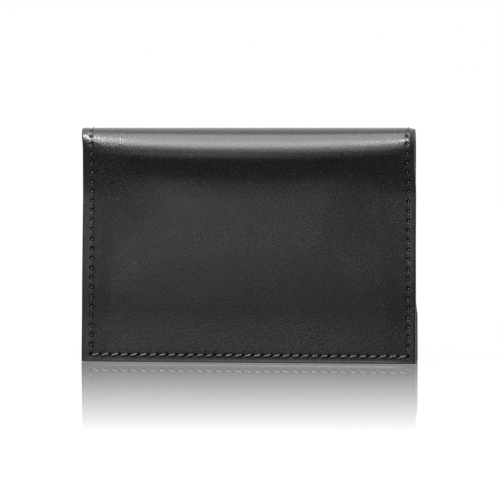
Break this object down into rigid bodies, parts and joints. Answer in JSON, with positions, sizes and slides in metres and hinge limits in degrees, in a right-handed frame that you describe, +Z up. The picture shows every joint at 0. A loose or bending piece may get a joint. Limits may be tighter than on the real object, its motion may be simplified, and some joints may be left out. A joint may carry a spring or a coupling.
{
  "type": "key case",
  "caption": "Bifold black leather key case with a rolled fold on top, sewn edges, a press stud on the flap and a row of gated key hooks on a bar inside.",
  "frame": {"origin": "middle of the bounding box's base, on the surface that the covers' lower edges stand on", "axes": "+X along the fold to the right as seen in the picture, +Y from the pictured back cover towards the front cover, +Z up towards the fold"},
  "size_m": [0.107, 0.018, 0.0755],
  "materials": {
    "outer_leather": "smooth, semi-gloss, black, with burnished edges",
    "lining_leather": "smooth, matt, black",
    "nickel": "polished nickel plate",
    "spring_steel": "bright spring steel"
  },
  "bodies": {
    "back_cover": {"back_outer_leather": "outer_leather", "back_lining": "lining_leather", "key_bar": "nickel", "key_rod": "spring_steel", "bar_rivet_left": "nickel", "bar_rivet_right": "nickel", "snap_stud": "nickel", "snap_post": "nickel"},
    "spine": {"spine_outer_leather": "outer_leather", "spine_lining": "lining_leather"},
    "front_cover": {"front_outer_leather": "outer_leather", "front_lining": "lining_leather", "card_pocket": "lining_leather", "snap_cap": "nickel", "snap_socket": "nickel"},
    "hook_1": {"key_hook_1": "nickel", "gate_rivet_1": "nickel"},
    "hook_2": {"key_hook_2": "nickel", "gate_rivet_2": "nickel"},
    "hook_3": {"key_hook_3": "nickel", "gate_rivet_3": "nickel"},
    "hook_4": {"key_hook_4": "nickel", "gate_rivet_4": "nickel"},
    "hook_5": {"key_hook_5": "nickel", "gate_rivet_5": "nickel"},
    "hook_6": {"key_hook_6": "nickel", "gate_rivet_6": "nickel"},
    "gate_1": {"hook_gate_1": "spring_steel"},
    "gate_2": {"hook_gate_2": "spring_steel"},
    "gate_3": {"hook_gate_3": "spring_steel"},
    "gate_4": {"hook_gate_4": "spring_steel"},
    "gate_5": {"hook_gate_5": "spring_steel"},
    "gate_6": {"hook_gate_6": "spring_steel"}
  },
  "joints": [
    {"name": "spine_fold", "type": "hinge", "parent": "back_cover", "child": "spine", "pos_m": [0, -0.00528, 0.07379], "axis": [1, 0, 0], "range_deg": [0, 90]},
    {"name": "front_cover_fold", "type": "hinge", "parent": "spine", "child": "front_cover", "pos_m": [0, 0.00528, 0.07379], "axis": [1, 0, 0], "range_deg": [0, 90]},
    {"name": "hook_1_swing", "type": "hinge", "parent": "back_cover", "child": "hook_1", "pos_m": [-0.02875, -0.0024, 0.068], "axis": [1, 0, 0], "range_deg": [0, 10]},
    {"name": "hook_2_swing", "type": "hinge", "parent": "back_cover", "child": "hook_2", "pos_m": [-0.01725, -0.0024, 0.068], "axis": [1, 0, 0], "range_deg": [0, 10]},
    {"name": "hook_3_swing", "type": "hinge", "parent": "back_cover", "child": "hook_3", "pos_m": [-0.00575, -0.0024, 0.068], "axis": [1, 0, 0], "range_deg": [0, 10]},
    {"name": "hook_4_swing", "type": "hinge", "parent": "back_cover", "child": "hook_4", "pos_m": [0.00575, -0.0024, 0.068], "axis": [1, 0, 0], "range_deg": [0, 10]},
    {"name": "hook_5_swing", "type": "hinge", "parent": "back_cover", "child": "hook_5", "pos_m": [0.01725, -0.0024, 0.068], "axis": [1, 0, 0], "range_deg": [0, 10]},
    {"name": "hook_6_swing", "type": "hinge", "parent": "back_cover", "child": "hook_6", "pos_m": [0.02875, -0.0024, 0.068], "axis": [1, 0, 0], "range_deg": [0, 10]},
    {"name": "gate_1_press", "type": "hinge", "parent": "hook_1", "child": "gate_1", "pos_m": [-0.02615, -0.0015, 0.0622], "axis": [0, 1, 0], "range_deg": [0, 18], "stiffness_Nm_per_rad": 0.05},
    {"name": "gate_2_press", "type": "hinge", "parent": "hook_2", "child": "gate_2", "pos_m": [-0.01465, -0.0015, 0.0622], "axis": [0, 1, 0], "range_deg": [0, 18], "stiffness_Nm_per_rad": 0.05},
    {"name": "gate_3_press", "type": "hinge", "parent": "hook_3", "child": "gate_3", "pos_m": [-0.00315, -0.0015, 0.0622], "axis": [0, 1, 0], "range_deg": [0, 18], "stiffness_Nm_per_rad": 0.05},
    {"name": "gate_4_press", "type": "hinge", "parent": "hook_4", "child": "gate_4", "pos_m": [0.00835, -0.0015, 0.0622], "axis": [0, 1, 0], "range_deg": [0, 18], "stiffness_Nm_per_rad": 0.05},
    {"name": "gate_5_press", "type": "hinge", "parent": "hook_5", "child": "gate_5", "pos_m": [0.01985, -0.0015, 0.0622], "axis": [0, 1, 0], "range_deg": [0, 18], "stiffness_Nm_per_rad": 0.05},
    {"name": "gate_6_press", "type": "hinge", "parent": "hook_6", "child": "gate_6", "pos_m": [0.03135, -0.0015, 0.0622], "axis": [0, 1, 0], "range_deg": [0, 18], "stiffness_Nm_per_rad": 0.05}
  ],
  "couplings": [
    {"joint": "front_cover_fold", "follows": "spine_fold", "ratio": 1}
  ]
}
